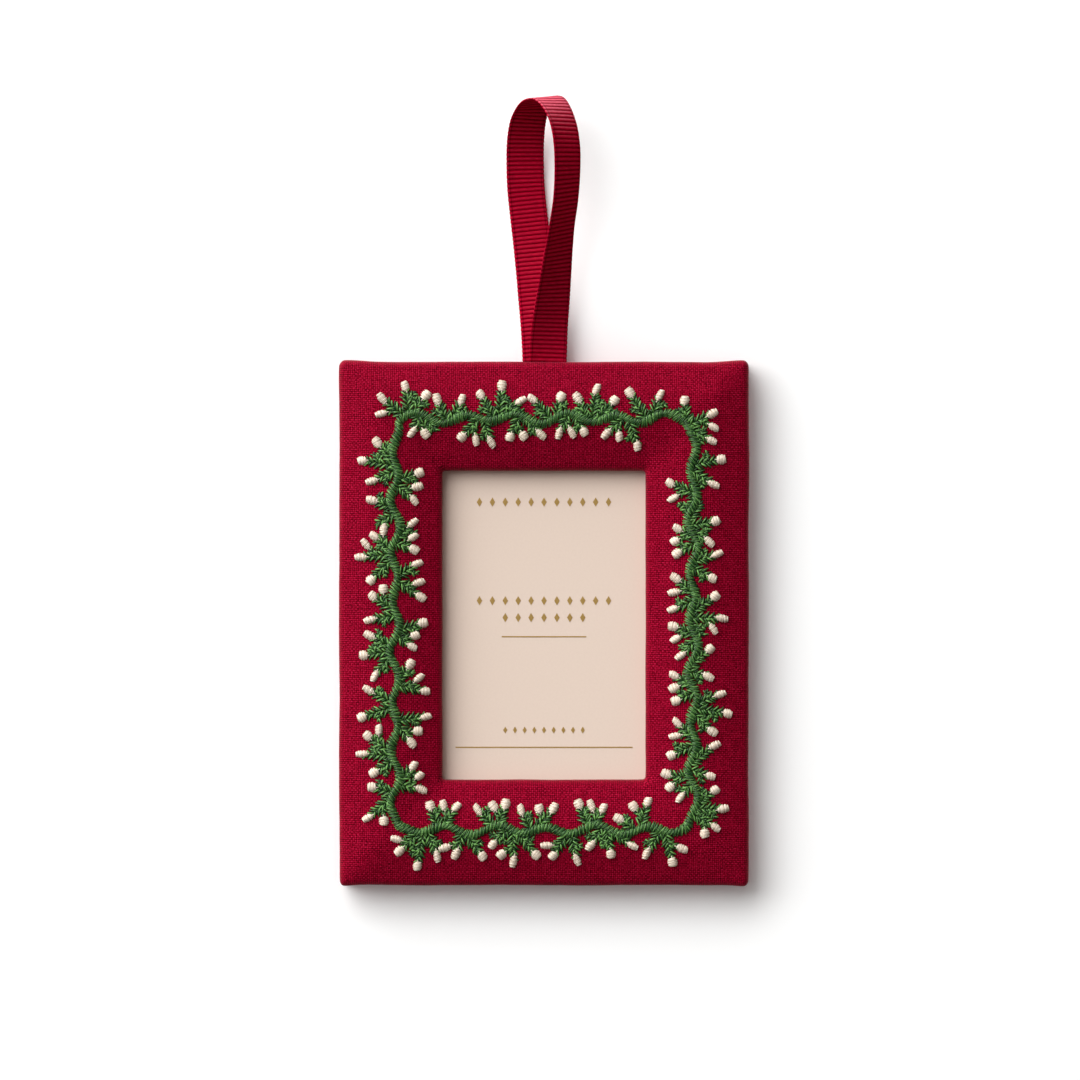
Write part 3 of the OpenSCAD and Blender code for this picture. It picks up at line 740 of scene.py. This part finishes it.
def new_thread_material(name, groove_shade, dark, middle, light, other, glint):
    """Mercerised cotton thread: fine plies and a painted highlight along its crest, each stitch a
    little lighter or darker than the next, in places of another hue, and painted shade between the
    stitches, whose darkness is given as a share from 0, black, to 1."""
    material, tree = new_material(name)
    tone = add_node(tree, "Attribute", {"attribute_name": "tone"})
    crest = add_node(tree, "Attribute", {"attribute_name": "crest"})
    way = add_node(tree, "UVMap", {"uv_map": "UVMap"})
    spot = add_node(tree, "TexCoord")
    turned = add_node(tree, "Mapping", None, Vector=way.outputs[0], Rotation=(0, 0, 0.6), Scale=(1.2, 6, 1))
    plies = add_node(tree, "TexNoise", flat, Vector=turned.outputs[0], Scale=2.0, Detail=3.0)
    mixed = add_node(tree, "Math", {"operation": "MULTIPLY_ADD"}, _0=plies.outputs[0], _1=1.1, _2=-0.55)
    mixed = add_node(
        tree, "Math", {"operation": "MULTIPLY_ADD"}, _0=tone.outputs["Fac"], _1=0.9, _2=mixed.outputs[0]
    )
    mixed = add_node(tree, "Math", {"operation": "ADD", "use_clamp": True}, _0=mixed.outputs[0], _1=0.04)
    colours = add_node(tree, "ValToRGB", None, Fac=mixed.outputs[0])
    colours.color_ramp.elements[0].color = srgb(dark)
    colours.color_ramp.elements[1].color = srgb(light)
    colours.color_ramp.elements.new(0.5).color = srgb(middle)
    dye = add_node(tree, "TexNoise", None, Vector=spot.outputs["Object"], Scale=650.0, Detail=2.0)
    dye = add_node(tree, "MapRange", None, Value=dye.outputs[0], From_Min=0.45, From_Max=0.7, To_Max=0.8)
    hue = add_node(tree, "Mix", rgba, _0=dye.outputs[0], _6=colours.outputs[0], _7=srgb(other))
    # Painted highlight: the colour is lighter along each thread's crest.
    painted_crest_highlight = add_node(
        tree, "MapRange", None, Value=crest.outputs["Fac"], From_Min=0.7, From_Max=1.0, To_Max=0.3
    )
    painted_crest_highlight = add_node(tree, "Math", {"operation": "MULTIPLY"}, _0=painted_crest_highlight.outputs[0], _1=tone.outputs["Fac"])
    hue = add_node(tree, "Mix", rgba, _0=painted_crest_highlight.outputs[0], _6=hue.outputs[2], _7=srgb(light))
    # Painted shade: the colour darkens down each thread's sides, between the stitches.
    painted_gap_shade = add_node(
        tree, "MapRange", None, Value=crest.outputs["Fac"], From_Min=0.45, From_Max=1.0, To_Min=groove_shade
    )
    shaded = add_node(
        tree, "Mix", {"data_type": "RGBA", "blend_type": "MULTIPLY"}, _0=1.0, _6=hue.outputs[2],
        _7=painted_gap_shade.outputs[0],
    )
    bump = add_node(tree, "Bump", None, Strength=0.5, Distance=0.00003, Height=plies.outputs[0])
    cotton = add_node(
        tree, "BsdfPrincipled", None, Base_Color=shaded.outputs[2], Roughness=0.28, Specular_IOR_Level=0.6,
        Specular_Tint=srgb(glint), Normal=bump.outputs[0],
    )
    add_node(tree, "OutputMaterial", None, Surface=cotton.outputs[0])
    return material


# Mid-green thread: a silky green, yellowish in its lightest stitches and in the painted highlight
# along each crest, with bluish patches, and painted shade nearly black between the stitches
stem.data.materials.append(
    new_thread_material("green_thread", 0.0, "#02170A", "#19541A", "#90CA70", "#0B4822", "#D8F2CC")
)
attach(stem, "root")
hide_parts("vine_stem")

# The sprigs are sewn in a darker green thread, two or three forked twigs to a sprig on
# both sides of the stem, most with short side twigs. Each twig is a row of stitches in
# pairs that slant forwards from its middle line.
sprigs_a_side = 29
outer_twig = 0.0063
inner_twig = 0.0052
twig_width = 0.00135
side_twig = 0.0021
side_lean = 54
root_pitch = 0.001
corner_reach = 0.005
twig_stitch_pitch = 0.00052
twig_rise = 0.0006
left_foot = 0.4
right_foot = 0.54
blunt = 0.8
# A twig starts this far from the middle of the stem, and its stitches lean out this far
root_gap = 0.0004
stitch_lean = 50
# The width at a twig's foot and at its tip, as shares of the twig's width
foot_share = 2
tip_share = 1.3
outer_forks = [[(-38, 0.86), (0, 1), (38, 0.8)], [(-26, 0.96), (24, 0.78)]]
inner_forks = [[(-36, 0.84), (26, 1)], [(-26, 1), (38, 0.8)]]


def heading(angle):
    """One step in the direction of an angle in degrees."""
    return np.array([cos_of(angle), sin_of(angle)])


def twig_of(j, k, side):
    """A twig's root, direction, length and number, and its place along the vine."""
    forks = (outer_forks if side > 0 else inner_forks)[j % 2]
    middle = (j + (0 if side > 0 else 0.5) + 0.12 * vary(j, side)) * vine_length / sprigs_a_side
    s = middle + root_pitch * (k - (len(forks) - 1) / 2)
    lean = forks[k][0] + 14 * vary(j, 3 * side) + 6 * vary(j, k + 4 * side)
    share = forks[k][1] * (1 + 0.15 * vary(j, k + 7 * side))
    outward = line_at(s)[2]
    return (
        stem_at(s), outward + (-lean if side > 0 else 180 + lean),
        share * (outer_twig if side > 0 else inner_twig), 3 * j + k, s,
    )


def is_cornered(s):
    """Whether the vine turns so near that inner twigs would cross."""
    return abs(line_at(s + corner_reach)[2] - line_at(s - corner_reach)[2]) % 360 > 1


twigs = []
for j in range(sprigs_a_side):
    twigs += [twig_of(j, k, 1) for k in range(len(outer_forks[j % 2]))]
    if not is_cornered((j + 0.5) * vine_length / sprigs_a_side):
        twigs += [twig_of(j, k, -1) for k in range(len(inner_forks[j % 2]))]


def side_twigs(twig):
    """The starts, ends and directions of a twig's side twigs: two twigs of three have one
    to the left, side 1, and two of three have one to the right, side -1."""
    root, angle, reach, number, s = twig
    made = []
    for side, foot, left_out, seed in ((1, left_foot, 1, 1), (-1, right_foot, 0, 5)):
        if number % 3 != left_out:
            start = root + reach * foot * heading(angle) + side * twig_width / 2 * heading(angle + 90)
            size = side_twig * (1 + 0.15 * vary(number, seed))
            lean = angle + side * side_lean
            middle = start + blunt / 2 * twig_width * heading(lean - side * 90)
            made.append((middle, middle + size * heading(lean), lean, side))
    return made


def herringbone(start, way_angle, reach, wide_start, wide_end, rise, seed):
    """A twig's stitches: pairs that slant forwards from its middle line, so that its two sides
    are jagged, and one last stitch along its tip."""
    row = []
    count = max(2, round(reach / twig_stitch_pitch))
    for i in range(count):
        t = i / count
        wide = wide_start + (wide_end - wide_start) * t
        for side in (1, -1):
            size = wide * (0.86 + 0.2 * vary(i, seed + side))
            angle = way_angle + side * (stitch_lean + 9 * vary(i, seed + 5 * side))
            foot = start + reach * (t + 0.04 * side) * heading(way_angle)
            x, y = foot + (size / 2 - 0.0002) * heading(angle)
            row.append((
                x, y, angle, size, rise * (1 + 0.18 * vary(i, seed + 2 * side)) * (1 - 0.25 * t),
                thread_radius * (1.05 + 0.15 * vary(i, seed + 3)), 0.5 + 0.5 * vary(i, seed + 7 * side),
            ))
    x, y = start + reach * 0.93 * heading(way_angle)
    row.append((
        x, y, way_angle + 8 * vary(seed, 2), wide_end * 1.1, rise * 0.7, thread_radius,
        0.5 + 0.5 * vary(seed, 3),
    ))
    return row


twig_stitches = []
for twig in twigs:
    root, angle, reach, number, s = twig
    twig_stitches += herringbone(
        root + root_gap * heading(angle), angle, reach - root_gap, foot_share * twig_width,
        tip_share * twig_width, twig_rise, number,
    )
    for start, end, lean, side in side_twigs(twig):
        twig_stitches += herringbone(
            start - 0.0003 * heading(lean), lean, np.linalg.norm(end - start) + 0.0002,
            tip_share * twig_width, twig_width, twig_rise * 0.9, number + 11 * side,
        )
sprigs = sew("sprig_stitches", new_stitch(5, 4), twig_stitches)

# Dark green thread: deeper than the stem's, so that the stem stands out from the sprigs. It has
# the same painted highlight along each crest and painted shade nearly black between the stitches.
sprigs.data.materials.append(
    new_thread_material("dark_green_thread", 0.0, "#021007", "#134615", "#82C064", "#083B1C", "#D8F2CC")
)
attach(sprigs, "root")
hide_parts("vine_leaves")

# Each berry is a small padded oval of eight cream stitches at the end of a twig or a
# side twig, sewn across it, with one thin thread back to the twig.
berry_long = 0.0025
berry_wide = 0.0021
berry_out = 0.37
berry_gap = 0.0001
berry_rise = 0.0009
berry_bands = 8
tie_long = 0.0012
tie_rise = 0.0006
# A berry's outline is an oval with blunt ends
oval = 2.4
# The stem is searched in this many steps of this length on both sides of a twig's root
stem_step = 0.0005
stem_steps = 24

# The middle, the direction, and the root's place along the vine of every possible berry
berry_places = [
    (root + (reach + berry_out * berry_long) * heading(angle), angle + 12 * vary(number, 4), s)
    for root, angle, reach, number, s in twigs
]
berry_places += [
    (end + berry_out * berry_long * heading(lean), lean, twig[4])
    for twig in twigs
    for start, end, lean, side in side_twigs(twig)
]


def has_berry(n):
    """Whether a berry stands clear of the stem and of every berry before it."""
    middle, angle, s = berry_places[n]
    near_stem = [stem_at(s + step * stem_step) for step in range(-stem_steps, stem_steps + 1)]
    to_stem = min(np.linalg.norm(place - middle) for place in near_stem)
    clear = [np.linalg.norm(other[0] - middle) > berry_long + berry_gap for other in berry_places[:n]]
    return to_stem > (stem_width + berry_long) / 2 + berry_gap and all(clear)


berry_stitches = []
for n in filter(has_berry, range(len(berry_places))):
    middle, angle, s = berry_places[n]
    long = berry_long * (1.05 + 0.2 * vary(n, 6))
    wide = berry_wide * (1.09 + 0.17 * vary(n, 8))
    for i in range(berry_bands):
        t = (i - (berry_bands - 1) / 2) / (berry_bands / 2)
        round_share = (1 - abs(0.88 * t) ** oval) ** (1 / oval)
        x, y = middle + heading(angle) * t * long / 2 * 0.9
        berry_stitches.append((
            x, y, angle + 90 + 6 + 6 * vary(n, 5) + 7 * vary(i, n), wide * round_share,
            berry_rise * round_share**0.8, thread_radius * 0.94, 0.5 + 0.5 * vary(i + n, 2),
        ))
    x, y = middle - heading(angle) * (long * 0.5 + 0.0001)
    berry_stitches.append((x, y, angle + 8 * vary(n, 3), tie_long, tie_rise, thread_radius * 0.55, 0.6))
berries = sew("berry_stitches", new_stitch(6, 5), berry_stitches)

# Cream thread: warm off-white, with painted grey-brown shade between the bands and a painted highlight along
# each crest
berries.data.materials.append(
    new_thread_material("cream_thread", 0.72, "#C4B29B", "#E2D3C0", "#F6ECDC", "#ECDDC8", "#FFF8EC")
)
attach(berries, "root")
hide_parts("vine_berries")

# The insert is heavy blush paper with a faint tooth, and its marks are hot-stamped gold
# foil, very thin and satin.
blush_paper, tree = new_material("blush_paper")
place = add_node(tree, "TexCoord")
tooth = add_node(tree, "TexNoise", None, Vector=place.outputs["Object"], Scale=1800.0, Detail=4.0)
tone = add_node(tree, "Mix", rgba, _0=tooth.outputs[0], _6=srgb("#E0CEBF"), _7=srgb("#E6D5C6"))
bump = add_node(tree, "Bump", None, Strength=0.15, Distance=0.00003, Height=tooth.outputs[0])
paper = add_node(
    tree, "BsdfPrincipled", None, Base_Color=tone.outputs[2], Roughness=0.8, Specular_IOR_Level=0.15,
    Normal=bump.outputs[0],
)
add_node(tree, "OutputMaterial", None, Surface=paper.outputs[0])
gold_foil, tree = new_material("gold_foil")
place = add_node(tree, "TexCoord")
grain = add_node(tree, "TexNoise", None, Vector=place.outputs["Object"], Scale=4000.0, Detail=2.0)
tone = add_node(tree, "Mix", rgba, _0=grain.outputs[0], _6=srgb("#B18C48"), _7=srgb("#D6B672"))
foil = add_node(tree, "BsdfPrincipled", None, Base_Color=tone.outputs[2], Metallic=0.75, Roughness=0.45)
add_node(tree, "OutputMaterial", None, Surface=foil.outputs[0])
for name, material in (("insert_card", blush_paper), ("card_foil", gold_foil)):
    node = bpy.data.objects[name]
    node.data.materials.clear()
    node.data.materials.append(material)

# The back cover is the same linen, glued over the back of the back board and turned in
# over its edges. It has no window.
back_low, back_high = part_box("back_cover")
back_edge_roll = 0.0009
back_cloth = new_block("linen_back_cover", back_low, back_high)
back_middle = (back_low.y + back_high.y) / 2
pick(back_cloth, "EDGE", lambda m: near(m.y, back_middle))
bpy.ops.mesh.bevel(offset=corner_roll, segments=4, affect="EDGES")
pick(back_cloth, "EDGE", lambda m: near(m.y, back_low.y) or near(m.y, back_high.y))
bpy.ops.mesh.bevel(offset=back_edge_roll, segments=3, affect="EDGES")
cut_across(0, between(-back_high.x + corner_roll, back_high.x - corner_roll, cloth_step))
cut_across(2, between(corner_roll, back_high.z - corner_roll, cloth_step))
lay_linen(back_cloth, back_middle, back_high.y, False)
back_cloth.data.materials.append(crimson_linen)
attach(back_cloth, "root")
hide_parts("back_cover")

# The wall that the frame hangs on is matt white paper. Seen by the camera it also glows
# faintly, a painted light that is weaker near the frame, so that only the shadow's place is dark.
# Views from behind look through it, and so do reflected and very short rays, which keeps the frame's back
# lit.
wall_gap = 0.0002
wall_size = 4
glow_width = 0.011
let_through = 0.001
wall_place = (0, back_high.y + wall_gap, 0.08)
bpy.ops.mesh.primitive_plane_add(size=wall_size, location=wall_place, rotation=(math.pi / 2, 0, 0))
wall = bpy.context.object
wall.name = "paper_wall"
bpy.ops.object.transform_apply(location=True, rotation=True, scale=True)
white_paper, tree = new_material("white_backdrop_paper")
way = add_node(tree, "LightPath")
seen = add_node(
    tree, "Math", {"operation": "MAXIMUM"}, _0=way.outputs["Is Camera Ray"],
    _1=way.outputs["Is Transmission Ray"],
)
paper = add_node(tree, "BsdfDiffuse", None, Color=srgb("#FCFCFC"))
place = add_node(tree, "TexCoord")
away = add_node(
    tree, "VectorMath", {"operation": "SUBTRACT"}, _0=place.outputs["Object"], _1=(0, 0, frame_middle)
)
away = add_node(tree, "VectorMath", {"operation": "ABSOLUTE"}, _0=away.outputs[0])
away = add_node(
    tree, "VectorMath", {"operation": "SUBTRACT"}, _0=away.outputs[0], _1=(cover_high.x, 1, frame_middle)
)
away = add_node(tree, "VectorMath", {"operation": "MAXIMUM"}, _0=away.outputs[0], _1=(0, 0, 0))
away = add_node(tree, "VectorMath", {"operation": "LENGTH"}, _0=away.outputs[0])
# Painted light: the wall's emission is weaker near the frame and stronger away from it.
painted_glow = add_node(
    tree, "MapRange", None, Value=away.outputs["Value"], From_Min=0, From_Max=glow_width,
    To_Min=0.045, To_Max=0.145,
)
painted_glow = add_node(tree, "Emission", None, Color=(0.85, 1, 1, 1), Strength=painted_glow.outputs[0])
lit = add_node(tree, "AddShader", None, _0=paper.outputs[0], _1=painted_glow.outputs[0])
front = add_node(tree, "MixShader", None, _0=seen.outputs[0], _1=paper.outputs[0], _2=lit.outputs[0])
back = add_node(tree, "BsdfTransparent")
surface = add_node(tree, "NewGeometry")
passed = add_node(tree, "Math", {"operation": "LESS_THAN"}, _0=way.outputs["Ray Length"], _1=let_through)
for ray in (way.outputs["Is Glossy Ray"], surface.outputs["Backfacing"]):
    passed = add_node(tree, "Math", {"operation": "MAXIMUM"}, _0=passed.outputs[0], _1=ray)
one_sided = add_node(tree, "MixShader", None, _0=passed.outputs[0], _1=front.outputs[0], _2=back.outputs[0])
add_node(tree, "OutputMaterial", None, Surface=one_sided.outputs[0])
wall.data.materials.append(white_paper)

# Soft light: a large window-like lamp to the upper left of the camera, in a room with one
# soft light above and to the left, one behind and above, and a dim warm light all around.
# The camera sees the room as white.
lamp_place = (-1.22, -1.42, 1.3)
frame_place = Vector((0, 0, 0.08))
# The way to each soft light's middle, how far off it starts as a cosine, and its strength
soft_lights = [((-0.68, -0.1, 0.72), 0.35, 2.95), ((0.05, 0.8, 0.6), 0.3, 1.4)]
bpy.ops.object.light_add(type="AREA", location=lamp_place)
lamp = bpy.context.object
lamp.visible_camera = False
lamp.data.shape = "SQUARE"
lamp.data.size = 2.1
lamp.data.energy = 37.5
lamp.rotation_euler = (frame_place - lamp.location).to_track_quat("-Z", "Y").to_euler()
room = bpy.data.worlds.new("white_room")
bpy.context.scene.world = room
room.use_nodes = True
room.node_tree.nodes.clear()
tree = room.node_tree
way = add_node(tree, "LightPath")
toward = add_node(tree, "TexCoord")
strengths = []
for middle, far, most in soft_lights:
    near_it = add_node(
        tree, "VectorMath", {"operation": "DOT_PRODUCT"}, _0=toward.outputs["Generated"], _1=middle
    )
    strengths.append(add_node(
        tree, "MapRange", {"interpolation_type": "SMOOTHSTEP"}, Value=near_it.outputs["Value"],
        From_Min=far, From_Max=0.9, To_Max=most,
    ))
strength = add_node(
    tree, "Math", {"operation": "ADD"}, _0=strengths[0].outputs[0], _1=strengths[1].outputs[0]
)
dim = add_node(tree, "Background", None, Color=(1, 0.86, 0.82, 1), Strength=0.19)
soft = add_node(tree, "Background", None, Color=(1, 1, 1, 1), Strength=strength.outputs[0])
around = add_node(tree, "AddShader", None, _0=dim.outputs[0], _1=soft.outputs[0])
bright = add_node(tree, "Background", None, Color=(1, 1, 1, 1), Strength=1.0)
sky = add_node(
    tree, "MixShader", None, _0=way.outputs["Is Camera Ray"], _1=around.outputs[0], _2=bright.outputs[0]
)
add_node(tree, "OutputWorld", None, Surface=sky.outputs[0])
